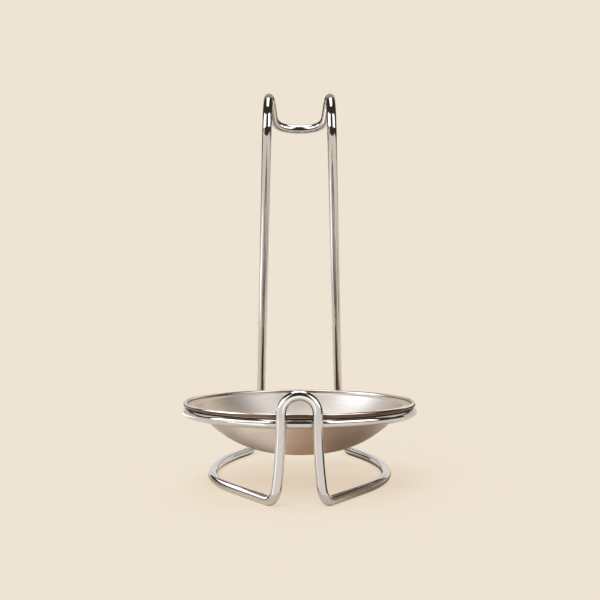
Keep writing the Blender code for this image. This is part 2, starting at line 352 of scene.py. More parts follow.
def turned_tree():
    """Turns a half section round the Z axis. Its UV map has U round the axis and V along the section."""
    tree, group = new_tree("Turned section", {"Steps": "NodeSocketInt", "Finish": "NodeSocketMaterial"})
    section = group["Geometry"]
    count = add(tree, "GeometryNodeAttributeDomainSize", {"Geometry": section}).outputs["Point Count"]
    columns = add(tree, "ShaderNodeMath", {0: group["Steps"], 1: 1.0}, operation="ADD")
    sheet = add(tree, "GeometryNodeMeshGrid", {"Vertices X": columns, "Vertices Y": count})
    index = add(tree, "GeometryNodeInputIndex")
    column = add(tree, "ShaderNodeMath", {0: index, 1: count}, operation="DIVIDE")
    column = add(tree, "ShaderNodeMath", {0: column}, operation="FLOOR")
    row = add(tree, "ShaderNodeMath", {0: index, 1: count}, operation="MODULO")
    sample = {"Geometry": section, "Value": add(tree, "GeometryNodeInputPosition"), "Index": row}
    point = add(tree, "GeometryNodeSampleIndex", sample, data_type="FLOAT_VECTOR")
    turn = add(tree, "ShaderNodeMath", {0: column, 1: group["Steps"]}, operation="DIVIDE")
    turn = add(tree, "ShaderNodeMath", {0: turn, 1: math.tau}, operation="MULTIPLY")
    turned = add(tree, "ShaderNodeVectorRotate", {"Vector": point, "Angle": turn}, rotation_type="Z_AXIS")
    laid = add(tree, "GeometryNodeSetPosition", {"Geometry": sheet.outputs["Mesh"], "Position": turned})
    mapped = add(
        tree,
        "GeometryNodeStoreNamedAttribute",
        {"Geometry": laid, "Name": "UVMap", "Value": sheet.outputs["UV Map"]},
        data_type="FLOAT2",
        domain="CORNER",
    )
    closed = add(tree, "GeometryNodeMergeByDistance", {"Geometry": mapped, "Distance": SEAM_DISTANCE})
    close_tree(tree, closed, group["Finish"])
    return tree


def mesh_of_path(points, closed):
    """Edges through points, as the input of a tree."""
    mesh = bpy.data.meshes.new("path")
    edges = [(i, i + 1) for i in range(len(points) - 1)]
    mesh.from_pydata(points, edges + [(len(points) - 1, 0)] * closed, [])
    return mesh


def tidy_mesh(mesh):
    """Merges doubles and turns every face outwards."""
    work = bmesh.new()
    work.from_mesh(mesh)
    bmesh.ops.remove_doubles(work, verts=work.verts, dist=DOUBLES_DISTANCE)
    bmesh.ops.dissolve_degenerate(work, edges=work.edges, dist=DOUBLES_DISTANCE)
    bmesh.ops.recalc_face_normals(work, faces=work.faces)
    if work.calc_volume(signed=True) < 0:
        bmesh.ops.reverse_faces(work, faces=work.faces)
    work.to_mesh(mesh)
    work.free()


def shape_piece(name, path, tree, **values):
    """Runs a tree on a path and keeps its result as the plain mesh of a new piece."""
    piece = new_object(name, path)
    modifier = piece.modifiers.new(tree.name, "NODES")
    modifier.node_group = tree
    for item in tree.interface.items_tree:
        key = item.name.lower().replace(" ", "_")
        if item.in_out == "INPUT" and key in values:
            modifier[item.identifier] = values[key]
    evaluated = piece.evaluated_get(bpy.context.evaluated_depsgraph_get())
    mesh = bpy.data.meshes.new_from_object(evaluated)
    piece.modifiers.remove(modifier)
    piece.data = mesh
    mesh.name = name
    bpy.data.meshes.remove(path)
    if not mesh.polygons:
        raise RuntimeError(f"{name} came out empty")
    tidy_mesh(mesh)
    return piece


# Paths of the wire


def evenly(start, end, count):
    """Evenly spaced values from start to end."""
    return [start + (end - start) * i / (count - 1) for i in range(count)]


def arc(centre, radius, start, end, count):
    """Points of an arc in a plane, from angle start to angle end."""
    angles = evenly(start, end, count)
    return [(centre[0] + radius * math.cos(a), centre[1] + radius * math.sin(a)) for a in angles]


def bend(before, corner, after, radius):
    """Points of the round bend that a wire makes at a corner between two straight runs."""
    inward = (before - corner).normalized()
    outward = (after - corner).normalized()
    half_angle = inward.angle(outward) / 2
    centre = corner + (inward + outward).normalized() * radius / math.sin(half_angle)
    first = corner + inward * radius / math.tan(half_angle) - centre
    last = corner + outward * radius / math.tan(half_angle) - centre
    turn = math.pi - 2 * half_angle
    steps = math.ceil(turn / BEND_STEP)
    turned = [turn * i / steps for i in range(steps + 1)]
    return [centre + (first * math.sin(turn - a) + last * math.sin(a)) / math.sin(turn) for a in turned]


def heel_corner(wire):
    """The corner at which the right foot turns up into the upright."""
    return Vector((wire.heel_half_width, wire.heel_y, wire.diameter / 2))


def bowed_run(wire, corner, angle_out):
    """Points of a foot from a corner, at an angle to Y, to its widest point, where it runs along Y."""
    widest = Vector((wire.foot_half_width, wire.foot_widest_y, wire.diameter / 2))
    across = widest.x - corner.x
    along = abs(widest.y - corner.y)
    radius = (along * math.sin(angle_out) - across * math.cos(angle_out)) / (1 - math.cos(angle_out))
    side = math.copysign(radius, corner.y - widest.y)
    angles = evenly(angle_out, 0.0, RUN_POINTS)
    return [widest + Vector((radius * (math.cos(a) - 1), side * math.sin(a), 0.0)) for a in angles]


def arch_spring(wire):
    """Height at which the legs pass into the round top of the arch."""
    return wire.ring_height + wire.arch_rise - wire.arch_radius


def leg_point(wire, height):
    """A point of the right leg, which stands just before the ring and flares in a curve to the table."""
    spring = arch_spring(wire)
    reach = wire.ring_radius + wire.diameter + wire.seat_gap
    y = -math.sqrt(reach**2 - wire.arch_radius**2)
    share = (spring - height) / (spring - wire.diameter / 2)
    return Vector((wire.arch_radius + wire.leg_spread * share**2, y - wire.leg_flare * share**2, height))


def arch_and_foot(wire):
    """Right half of the loop from the top of the arch to the rear end of the foot."""
    spring = arch_spring(wire)
    quarter = math.pi / 2
    round_top = arc((0.0, spring), wire.arch_radius, quarter, 0.0, math.ceil(quarter / BEND_STEP) + 1)
    toe = leg_point(wire, wire.diameter / 2)
    leg_end = leg_point(wire, wire.diameter / 2 + 2 * wire.toe_bend)
    drop = spring - leg_end.z
    leg = [leg_point(wire, spring - drop * i / RUN_POINTS) for i in range(1, RUN_POINTS)]
    front_run = bowed_run(wire, toe, wire.toe_angle)
    rear_run = bowed_run(wire, heel_corner(wire), wire.heel_angle)
    top_y = leg_point(wire, spring).y
    points = [Vector((x, top_y, z)) for x, z in round_top] + leg
    points += bend(leg_end, toe, front_run[0], wire.toe_bend)
    return points + front_run + rear_run[-2::-1]


def point_at(line, distance):
    """The point of a flat line that lies at a distance along the upright."""
    for start, end in zip(line, line[1:]):
        if start.y <= distance <= end.y:
            return start.lerp(end, (distance - start.y) / (end.y - start.y))
    raise ValueError(f"the line does not reach {distance}")


def upright_and_saddle(wire):
    """Right half of the loop from the rear bend to the middle of the saddle bar. The uprights are first
    laid out flat, as a tapered loop with rounded corners, and then rolled on to the side profile."""
    straight = (wire.upright_height - wire.diameter / 2) / math.cos(wire.lean)
    to_top = straight + wire.hook_radius * (math.pi / 2 + wire.lean)
    roll_end = to_top + wire.hook_radius * wire.hook_past_top
    whole = roll_end + wire.hook_tail

    def rolled(point):
        """A point of the flat layout on the side profile."""
        run = min(point.y, straight)
        roll = min(point.y, roll_end) - run
        tail = point.y - run - roll
        turned = wire.lean - roll / wire.hook_radius
        back = wire.hook_radius * (math.cos(wire.lean) - math.cos(turned)) - tail * math.sin(turned)
        up = wire.hook_radius * (math.sin(wire.lean) - math.sin(turned)) + tail * math.cos(turned)
        y = wire.heel_y - run * math.sin(wire.lean) + back
        return Vector((point.x, y, wire.diameter / 2 + run * math.cos(wire.lean) + up))

    taper = (wire.heel_half_width - wire.upright_top_half_width) / straight
    foot = Vector((wire.heel_half_width, 0.0, 0.0))
    top = Vector((wire.heel_half_width - taper * to_top, to_top, 0.0))
    quarter = math.pi / 2
    bow_centre = (0.0, whole - wire.saddle_bow_radius)
    bow = arc(bow_centre, wire.saddle_bow_radius, quarter - wire.saddle_bow, quarter, BOW_POINTS)
    bar = [Vector((x, y, 0.0)) for x, y in bow]
    run = wire.saddle_half_width - bar[0].x
    corner = bar[0] + Vector((run, -run * math.tan(wire.saddle_bow), 0.0))
    saddle = bend(top, corner, bar[0], wire.saddle_bend)
    side = [foot] + bend(foot, top, corner, wire.hook_top_bend) + saddle[:1]
    steps = math.ceil((whole - straight) / wire.hook_radius / BEND_STEP)
    distances = [straight + (whole - straight) * i / steps for i in range(steps)]
    flat = [point_at(side, d) for d in distances if d < saddle[0].y]
    points = [rolled(point) for point in flat + saddle + bar[1:]]
    heel = heel_corner(wire)
    return bend(bowed_run(wire, heel, wire.heel_angle)[0], heel, points[0], wire.heel_bend) + points


def stand_path(wire):
    """The whole closed loop: the right half from arch to saddle, and its mirror image back again."""
    right = arch_and_foot(wire) + upright_and_saddle(wire)
    return right + [Vector((-point.x, point.y, point.z)) for point in right[-2:0:-1]]


def ring_path(wire):
    """The circle of the ring's centreline."""
    radius = wire.ring_radius
    turns = [math.tau * i / RING_POINTS for i in range(RING_POINTS)]
    return [(radius * math.cos(t), radius * math.sin(t), wire.ring_height) for t in turns]


# Section of the bowl and shape of a weld


def bowl_section(wire, bowl):
    """Half section of the bowl as (radius, height): up the inside, over the rolled edge and down the
    outside. The wall's radius follows from the depth and from the ring that the wall passes through."""
    flange_under = wire.ring_height + wire.diameter / 2 + wire.seat_gap
    floor = flange_under - bowl.depth
    fillet = bowl.flange_fillet
    fillet_centre = (wire.ring_radius - wire.diameter / 2 - bowl.wall_clearance, flange_under - fillet)
    across = fillet_centre[0] - bowl.floor_radius
    up = bowl.depth - fillet
    wall_radius = (across**2 + up**2 - fillet**2) / (2 * bowl.depth)
    wall_centre = (bowl.floor_radius, floor + wall_radius)
    wall_end = math.atan2(up - wall_radius, across)
    bead = bowl.bead_diameter / 2
    bead_centre = (bowl.rim_radius - bead, flange_under + bead)
    bead_start = math.pi - math.asin((bowl.sheet - bead) / bead)
    up_angle, down_angle, crease = math.pi / 2, -math.pi / 2, wall_end + math.pi
    floor_points = [(bowl.floor_radius * i / FILLET_POINTS, floor) for i in range(FILLET_POINTS)]
    inside = [(r, z + bowl.sheet) for r, z in floor_points]
    inside += arc(wall_centre, wall_radius - bowl.sheet, down_angle, wall_end, WALL_POINTS)
    inside += arc(fillet_centre, fillet + bowl.sheet, crease, up_angle, FILLET_POINTS)
    edge = arc(bead_centre, bead, bead_start, down_angle, BEAD_POINTS)
    outside = arc(fillet_centre, fillet, up_angle, crease, FILLET_POINTS)
    outside += arc(wall_centre, wall_radius, wall_end, down_angle, WALL_POINTS)[1:]
    return inside + edge + outside + floor_points[::-1]


def weld_mesh(wire, side):
    """Weld metal drawn into the gap between the ring and the leg before it. It lies on both wires, and its
    free edge is hollow, as metal that has run in and set."""
    radius = wire.diameter / 2
    crossing = leg_point(wire, wire.ring_height)
    crossing.x *= side
    outward = Vector((crossing.x, crossing.y, 0.0)).normalized()
    sideways = outward.cross(Vector((0.0, 0.0, 1.0)))
    ring_axis = outward * wire.ring_radius + Vector((0.0, 0.0, wire.ring_height))
    leg_axis = (Vector((crossing.x, crossing.y, 0.0)) - outward * wire.ring_radius).length
    work = bmesh.new()

    def point_of(turn_share, reach, lift):
        """A point by its turn round the crossing, its share of the reach and its share of the gap."""
        turn = math.tau * turn_share
        lumps = LUMP_HEIGHT * math.sin(LUMP_COUNT * turn + side)
        ripples = RIPPLE_HEIGHT * math.sin(RIPPLE_COUNT * turn)
        waist = WELD_WAIST + (1 - WELD_WAIST) * math.sin(2 * turn) ** 2
        far = reach * (1 + lumps + ripples) * wire.weld_reach * waist
        along, rise = far * math.cos(turn), far * math.sin(turn)
        on_ring = math.sqrt(radius**2 - min(rise, radius, key=abs) ** 2) - WELD_BITE
        on_leg = leg_axis - math.sqrt(max(radius**2 - along**2, 0.0)) + WELD_BITE
        depth = on_ring + (on_leg - on_ring) * lift
        return ring_axis + outward * depth + sideways * along + Vector((0.0, 0.0, rise))

    stations = [((i + 1) / WELD_RINGS, 0.0) for i in range(WELD_RINGS)]
    for i in range(1, WELD_EDGE_POINTS):
        lift = i / WELD_EDGE_POINTS
        stations.append((1.0 - WELD_HOLLOW * math.sin(math.pi * lift), lift))
    stations += [((WELD_RINGS - i) / WELD_RINGS, 1.0) for i in range(WELD_RINGS)]
    rings = []
    for reach, lift in stations:
        rings.append([work.verts.new(point_of(i / WELD_STEPS, reach, lift)) for i in range(WELD_STEPS)])
    poles = [work.verts.new(point_of(0.0, 0.0, lift)) for lift in (0.0, 1.0)]
    for i in range(WELD_STEPS):
        j = (i + 1) % WELD_STEPS
        work.faces.new((poles[0], rings[0][i], rings[0][j]))
        work.faces.new((poles[1], rings[-1][j], rings[-1][i]))
        for lower, upper in zip(rings, rings[1:]):
            work.faces.new((lower[i], upper[i], upper[j], lower[j]))
    mesh = bpy.data.meshes.new("weld")
    work.to_mesh(mesh)
    work.free()
    tidy_mesh(mesh)
    mesh.shade_smooth()
    return mesh


# Finishes


def new_finish(name):
    """A material with a bare Principled shader, its node tree, its shader inputs and Object coordinates."""
    material = bpy.data.materials.new(name)
    material.use_nodes = True
    tree = material.node_tree
    place = add(tree, "ShaderNodeTexCoord").outputs["Object"]
    return material, tree, tree.nodes["Principled BSDF"].inputs, place


def chrome_plate(name, plate, roughness, haze, ripple):
    """Bright chrome plate on drawn wire. It mirrors the room, a little softer and a shade duller where it
    has been handled, and the reflections waver slightly because the wire under the plate was bent and
    polished by hand."""
    material, tree, shader, place = new_finish(name)
    marks = {"Vector": place, "Scale": 1 / MARK_SIZE, **MARK_NOISE}
    marks = add(tree, "ShaderNodeTexNoise", marks).outputs[0]
    least, most = MARK_SPREAD
    softness = {"Value": marks, "From Min": least, "From Max": most, "To Min": roughness, "To Max": haze}
    softness = add(tree, "ShaderNodeMapRange", softness)
    tree.links.new(softness.outputs[0], shader["Roughness"])
    dull = [part * MARK_TONE for part in plate]
    tone = {0: marks, 6: opaque(plate), 7: opaque(dull)}
    tone = add(tree, "ShaderNodeMix", tone, data_type="RGBA")
    tree.links.new(tone.outputs[2], shader["Base Color"])
    waves = {"Vector": place, "Scale": 1 / WAVE_LENGTH, "Detail": WAVE_DETAIL}
    waves = add(tree, "ShaderNodeTexNoise", waves)
    relief = {"Strength": 1.0, "Distance": ripple, "Height": waves.outputs[0]}
    tree.links.new(add(tree, "ShaderNodeBump", relief).outputs[0], shader["Normal"])
    shader["Metallic"].default_value = 1.0
    return material


def brushed_steel(finish, bead_start, bead_height):
    """Stainless steel sheet, brushed round and round in the lathe. Fine rings scatter the light across the
    grain, so that highlights open into sectors that run from the middle to the rim. The rolled edge is
    polished by the rolls, and its underside is coloured dark as painted shade."""
    material, tree, shader, place = new_finish("Brushed stainless steel")
    flat = add(tree, "ShaderNodeVectorMath", {0: place, 1: (1.0, 1.0, 0.0)}, operation="MULTIPLY")
    outwards = add(tree, "ShaderNodeVectorMath", {0: flat}, operation="NORMALIZE")
    radius = add(tree, "ShaderNodeVectorMath", {0: flat}, operation="LENGTH").outputs["Value"]

    def grain(groove, streak, detail):
        """Noise drawn out round the axis, with grooves and streaks of a given size half way up the wall."""
        stretch = {0: outwards, "Scale": WALL_MIDDLE / streak}
        around = add(tree, "ShaderNodeVectorMath", stretch, operation="SCALE")
        across = add(tree, "ShaderNodeMath", {0: radius, 1: 1 / groove}, operation="MULTIPLY")
        rings = add(tree, "ShaderNodeCombineXYZ", {"Z": across})
        spot = add(tree, "ShaderNodeVectorMath", {0: around, 1: rings}, operation="ADD")
        return add(tree, "ShaderNodeTexNoise", {"Vector": spot, "Scale": 1.0, "Detail": detail}).outputs[0]

    both = {0: BROAD_SHARE, 2: grain(**FINE_GRAIN), 3: grain(**BROAD_GRAIN)}
    both = add(tree, "ShaderNodeMix", both, data_type="FLOAT")
    tone = {0: both, 6: opaque(finish.steel_dark), 7: opaque(finish.steel)}
    tone = add(tree, "ShaderNodeMix", tone, data_type="RGBA")
    polish = {"Value": radius, "From Min": bead_start - BEAD_FADE, "From Max": bead_start + BEAD_FADE}
    polish = add(tree, "ShaderNodeMapRange", polish)
    # Painted shade: the steel under the rolled edge is coloured dark
    height = add(tree, "ShaderNodeSeparateXYZ", {0: place}).outputs["Z"]
    unshaded, fully_shaded = [bead_height + fade for fade in EDGE_SHADE_FADE]
    under = add(tree, "ShaderNodeMapRange", {"Value": height, "From Min": unshaded, "From Max": fully_shaded})
    under = add(tree, "ShaderNodeMath", {0: under, 1: polish}, operation="MULTIPLY")
    tone = {0: under, 6: tone.outputs[2], 7: opaque(finish.steel_edge)}
    tone = add(tree, "ShaderNodeMix", tone, data_type="RGBA")
    tree.links.new(tone.outputs[2], shader["Base Color"])
    least, most = GRAIN_SPREAD
    rough, smooth = GRAIN_ROUGHNESS
    softness = {"Value": both, "From Min": least, "From Max": most, "To Min": rough, "To Max": smooth}
    softness = add(tree, "ShaderNodeMapRange", softness)
    softness = add(tree, "ShaderNodeMix", {0: polish, 2: softness, 3: BEAD_ROUGHNESS}, data_type="FLOAT")
    tree.links.new(softness.outputs[0], shader["Roughness"])
    relief = {"Strength": GRAIN_STRENGTH, "Distance": GRAIN_RELIEF, "Height": both}
    tree.links.new(add(tree, "ShaderNodeBump", relief).outputs[0], shader["Normal"])
    tangent = add(tree, "ShaderNodeTangent", direction_type="UV_MAP", uv_map="UVMap")
    tree.links.new(tangent.outputs[0], shader["Tangent"])
    shader["Metallic"].default_value = 1.0
    shader["Anisotropic"].default_value = GRAIN_STRETCH
    shader["Anisotropic Rotation"].default_value = GRAIN_TURN
    return material


def settle(piece, body, slot, *nodes):
    """Hands a finished piece to the frame."""
    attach(piece, body)
    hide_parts(*nodes)


# Parts of the stage


def stage_material(name):
    """A material without a shader, its node tree and the socket that takes the shader."""
    material = bpy.data.materials.new(name)
    material.use_nodes = True
    tree = material.node_tree
    tree.nodes.remove(tree.nodes["Principled BSDF"])
    return material, tree, tree.nodes["Material Output"].inputs["Surface"]


def stage_sheet(name, corners, faces, material):
    """A thin sheet of the stage."""
    mesh = bpy.data.meshes.new(name)
    mesh.from_pydata(corners, [], faces)
    mesh.materials.append(material)
    return new_object(name, mesh)


def grid_faces(columns, rows):
    """Faces of a sheet whose points are listed column by column."""
    starts = [i * rows + j for i in range(columns - 1) for j in range(rows - 1)]
    return [(first, first + 1, first + rows + 1, first + rows) for first in starts]


def board(name, corners, brightness, faces=ONE_FACE, tint=CLOTH_WHITE, only=None, direct=False, reach=None):
    """A lit board that only the metal sees: the camera looks past it, and it throws no light or shadow on
    the floor. A board for only one piece is gauze to the others. A direct board doesn't show where metal
    mirrors metal. Reach is the range of distances from which a board is seen."""
    material, tree, surface = stage_material(f"Lit cloth {name}")
    cloth = add(tree, "ShaderNodeEmission", {"Color": opaque(linear(tint)), "Strength": brightness})
    if only:
        cloth = add(tree, "ShaderNodeAddShader", {0: cloth, 1: add(tree, "ShaderNodeBsdfTransparent")})
    rays = add(tree, "ShaderNodeLightPath").outputs
    for measure, limits in (("Ray Depth", DIRECT_DEPTH if direct else None), ("Ray Length", reach)):
        if limits:
            least, most = limits
            within = {0: rays[measure], 1: (least + most) / 2, 2: (most - least) / 2}
            within = add(tree, "ShaderNodeMath", within, operation="COMPARE")
            clear = add(tree, "ShaderNodeBsdfTransparent")
            cloth = add(tree, "ShaderNodeMixShader", {0: within, 1: clear, 2: cloth})
            material.cycles.emission_sampling = "NONE"
    tree.links.new(cloth.outputs[0], surface)
    piece = stage_sheet(name, corners, faces, material)
    piece.visible_camera = False
    piece.visible_diffuse = False
    piece.visible_shadow = False
    if only:
        lit = bpy.data.collections.new(f"Lit by {name}")
        lit.objects.link(only)
        piece.light_linking.receiver_collection = lit


def level_board(name, across, along, height, brightness, **settings):
    """A board that lies level, by its limits in X and Y."""
    (left, right), (front, back) = across, along
    plan = ((left, front), (right, front), (right, back), (left, back))
    board(name, [(x, y, height) for x, y in plan], brightness, **settings)


def upright_board(name, plan, heights, brightness, **settings):
    """A board that stands upright between two points of the plan."""
    (start, end), (low, high) = plan, heights
    corners = [(*start, low), (*end, low), (*end, high), (*start, high)]
    board(name, corners, brightness, **settings)


def round_board(name, azimuths, heights, brightness, **settings):
    """A board bent round the stand between two azimuths, which are 0 in front and 90 at the right."""
    corners = []
    for azimuth in evenly(*azimuths, ROUND_POINTS):
        turn = math.radians(azimuth)
        for height in heights:
            corners.append((ROUND_DISTANCE * math.sin(turn), -ROUND_DISTANCE * math.cos(turn), height))
    board(name, corners, brightness, faces=grid_faces(ROUND_POINTS, len(heights)), **settings)


def domed_board(name, centre, azimuths, rises, brightness, **settings):
    """A board bent both ways, so that its centre sees all of it from the same distance."""
    corners = []
    for azimuth in evenly(*azimuths, DOME_POINTS):
        turn = math.radians(azimuth)
        for rise in evenly(*rises, DOME_POINTS):
            level = DOME_DISTANCE * math.cos(math.radians(rise))
            height = DOME_DISTANCE * math.sin(math.radians(rise))
            way = (level * math.sin(turn), -level * math.cos(turn), height)
            corners.append(tuple(a + b for a, b in zip(centre, way)))
    board(name, corners, brightness, faces=grid_faces(DOME_POINTS, DOME_POINTS), **settings)


# Stage


def paper_floor(finish):
    """Matt paper. The camera sees it with a soft shadow that never gets darker than paper in shade. The
    metal mirrors paper that ends at the edges of the table, in a gloom under the bowl, and dark between the
    heels and where a foot touches it."""
    material, tree, surface = stage_material("Matt paper")
    place = add(tree, "ShaderNodeTexCoord").outputs["Object"]
    parts = add(tree, "ShaderNodeSeparateXYZ", {0: place}).outputs
    rays = add(tree, "ShaderNodeLightPath").outputs

    def paper_in(shade):
        """Paper that falls to a shade where no light reaches it."""
        lit = [max(a - b, 0.0) for a, b in zip(finish.paper, shade)]
        matt = add(tree, "ShaderNodeBsdfDiffuse", {"Color": opaque(lit)})
        glow = add(tree, "ShaderNodeEmission", {"Color": opaque(shade)})
        return add(tree, "ShaderNodeAddShader", {0: matt, 1: glow})

    def outside(oval):
        """0 in the middle of an oval on the floor and 1 outside it."""
        centre, half = oval
        spot = add(tree, "ShaderNodeVectorMath", {0: place, 1: (*centre, 0.0)}, operation="SUBTRACT")
        spot = {0: spot, 1: (1 / half[0], 1 / half[1], 0.0)}
        spot = add(tree, "ShaderNodeVectorMath", spot, operation="MULTIPLY")
        spot = add(tree, "ShaderNodeVectorMath", {0: spot}, operation="LENGTH").outputs["Value"]
        edge = {"Value": spot, "From Min": OVAL_FADE[0], "From Max": OVAL_FADE[1]}
        return add(tree, "ShaderNodeMapRange", edge, interpolation_type="SMOOTHSTEP")

    table = 1.0
    for axis, dark, light in TABLE_EDGES:
        edge = {"Value": parts[axis], "From Min": dark, "From Max": light}
        edge = add(tree, "ShaderNodeMapRange", edge, interpolation_type="SMOOTHSTEP")
        table = add(tree, "ShaderNodeMath", {0: table, 1: edge}, operation="MULTIPLY")
    fades = []
    for start, end in (UPRIGHT_FADE, FOOT_FADE, REAR_FADE, CONTACT_FADE):
        fade = {"Value": rays["Ray Length"], "From Min": start, "From Max": end}
        fades.append(add(tree, "ShaderNodeMapRange", fade, interpolation_type="SMOOTHSTEP"))
    from_upright, at_foot, off_rear, off_contact = fades
    # Under the bowl, but not as seen from the uprights
    left = add(tree, "ShaderNodeMath", {0: outside(LEFT_OVAL), 1: at_foot}, operation="MAXIMUM")
    clear = add(tree, "ShaderNodeMath", {0: outside(BOWL_OVAL), 1: left}, operation="MINIMUM")
    clear = add(tree, "ShaderNodeMath", {0: clear, 1: from_upright}, operation="MAXIMUM")
    gloom = {0: at_foot, 6: opaque(finish.paper_gloom), 7: opaque(finish.paper_contact)}
    gloom = add(tree, "ShaderNodeMix", gloom, data_type="RGBA").outputs[2]
    gloom = add(tree, "ShaderNodeEmission", {"Color": gloom})
    paper = add(tree, "ShaderNodeMixShader", {0: clear, 1: gloom, 2: paper_in(finish.paper_gloom)})
    # Between the heels, under the rear runs of the feet and where a foot touches the paper
    pale = add(tree, "ShaderNodeMath", {0: outside(HEEL_OVAL), 1: off_contact}, operation="MULTIPLY")
    rear = add(tree, "ShaderNodeMath", {0: outside(REAR_OVAL), 1: off_rear}, operation="MAXIMUM")
    pale = add(tree, "ShaderNodeMath", {0: pale, 1: rear}, operation="MULTIPLY")
    darkness = add(tree, "ShaderNodeEmission", {"Color": opaque(finish.paper_dark)})
    paper = add(tree, "ShaderNodeMixShader", {0: pale, 1: darkness, 2: paper})
    beyond = add(tree, "ShaderNodeEmission", {"Color": opaque(finish.room)})
    mirrored = add(tree, "ShaderNodeMixShader", {0: table, 1: beyond, 2: paper})
    seen = paper_in(finish.paper_shade)
    both = add(tree, "ShaderNodeMixShader", {0: rays["Is Camera Ray"], 1: mirrored, 2: seen})
    tree.links.new(both.outputs[0], surface)
    material.cycles.emission_sampling = "NONE"
    far = FLOOR_HALF
    corners = [(-far, -far, 0.0), (far, -far, 0.0), (far, far, 0.0), (-far, far, 0.0)]
    floor = stage_sheet("paper_floor", corners, ONE_FACE, material)


def front_boards():
    """Soft boxes before the stand, which make the pair of stripes down each hook."""
    near, middle, far = LEFT_BOX_PLAN
    upright_board("left_soft_box", (near, middle), FRONT_BOX_HEIGHTS, brightness=1.8)
    upright_board("far_left_soft_box", (middle, far), FRONT_BOX_HEIGHTS, brightness=2.6)
    upright_board("right_soft_box", RIGHT_BOX_PLAN, FRONT_BOX_HEIGHTS, brightness=2.4)


def side_boards(wire):
    """A bright box at the left and a dim warm card at the right, for the feet."""
    upright_board("low_left_soft_box", LEFT_SIDE_PLAN, (0.029, 0.075), brightness=1.8, only=wire)
    upright_board("low_right_card", RIGHT_SIDE_PLAN, (0.012, 0.060), brightness=0.34, tint="#E6C8AA")


def backdrops():
    """Pale paper behind the stand and at its left, which the sides of the wire mirror."""
    upright_board("low_backdrop", ((-0.32, BACK_Y), (0.40, BACK_Y)), LOW_BACK, brightness=0.82)
    upright_board("right_backdrop", ((0.40, BACK_Y), (0.95, BACK_Y)), LOW_BACK, brightness=0.35)
    upright_board("left_backdrop", ((-0.75, 0.40), (-0.75, -0.40)), (0.0, 0.15), brightness=0.82)
    middle = ((-0.40, BACK_Y), (0.40, BACK_Y))
    upright_board("high_backdrop", middle, HIGH_BACK, brightness=0.45, tint="#FFEBD6")


def top_boards():
    """Soft boxes over the stand. The hooks see a narrower one than the rest of it."""
    for name, across, brightness in (
        ("top_left_soft_box", (-0.38, -0.08), 4.0),
        ("top_soft_box", (-0.08, 0.08), 2.4),
        ("top_right_soft_box", (0.08, 0.34), 3.0),
    ):
        level_board(name, across, TOP_DEPTH, TOP_HEIGHT, brightness, reach=BELOW_HOOKS_RANGE)
    hook_box = (-0.26, 0.23)
    level_board("hook_soft_box", hook_box, TOP_DEPTH, HOOK_BOX_HEIGHT, brightness=3.0, reach=HOOK_RANGE)


def low_cards(wire):
    """Cards near the table: one behind the feet, two before the legs, and over those one that leans back."""
    upright_board("rear_card", ((-0.16, 0.30), (0.16, 0.30)), (0.060, 0.105), brightness=0.75)
    split = (LEG_CARD_SPLIT, LEG_CARD_Y)
    right = (split, (0.11, LEG_CARD_Y))
    left = ((-0.15, LEG_CARD_Y), split)
    upright_board("leg_card", right, LEG_CARD_HEIGHTS, brightness=0.97, tint="#FFF4EA", reach=(0.0, 0.08))
    upright_board("left_leg_card", left, LEG_CARD_HEIGHTS, brightness=1.5, reach=(0.0, 0.12))
    # Leans so that the hooks see it edge on
    half = ARCH_CARD_HALF
    foot = (LEG_CARD_Y, LEG_CARD_HEIGHTS[1])
    corners = [(-half, *foot), (half, *foot), (half, *ARCH_CARD_TOP), (-half, *ARCH_CARD_TOP)]
    board("arch_card", corners, brightness=0.85, only=wire)


def bar_cards(wire):
    """Cards for the two bright streaks on the saddle bar. The hooks are too near to see them."""
    seen = {"only": wire, "reach": BAR_CARD_RANGE}
    for hand, side in HANDS:
        azimuths = [side * azimuth for azimuth in BAR_CARD_AZIMUTHS]
        domed_board(f"bar_{hand}_card", HOOK_FRONT, azimuths, BAR_CARD_RISES, brightness=1.8, **seen)


def ring_boards(ring):
    """Cards for the ends of the ring, and soft boxes for the streaks along it."""
    for (hand, side), card_brightness in zip(HANDS, (0.58, 0.50)):
        plan = [(side * x, y) for x, y in RING_CARD_PLAN]
        azimuths = [side * azimuth for azimuth in RING_BOX_AZIMUTHS]
        upright_board(f"ring_{hand}_card", plan, RING_CARD_HEIGHTS, card_brightness, only=ring)
        round_board(f"ring_{hand}_soft_box", azimuths, RING_BOX_HEIGHTS, brightness=0.7, only=ring)


def bowl_boards(bowl):
    """Soft boxes that make the sectors of light in the bowl, and two cards under it for its outside."""
    for name, azimuths, heights, brightness, tint in (
        ("bowl_left_soft_box", (-62.0, -106.0), (0.08, 0.80), 5.3, "#E9F7FF"),
        ("bowl_right_soft_box", (44.0, 69.0), (0.30, 1.40), 3.3, "#F0F6FF"),
        ("bowl_back_left_soft_box", (-122.0, -175.0), (0.10, 0.60), 1.0, "#FFEEDD"),
        ("bowl_back_right_soft_box", (122.0, 175.0), (0.10, 0.70), 1.3, "#FFEEDD"),
    ):
        round_board(name, azimuths, heights, brightness, tint=tint, only=bowl, direct=True)
    for name, across, along, brightness, tint in (
        ("bowl_floor_card", (-0.085, -0.012), (-0.12, -0.02), 0.80, CLOTH_WHITE),
        ("bowl_warm_card", (-0.012, 0.022), (-0.12, 0.005), 0.26, "#FFC896"),
    ):
        level_board(name, across, along, BOWL_CARD_HEIGHT, brightness, tint=tint, only=bowl, direct=True)


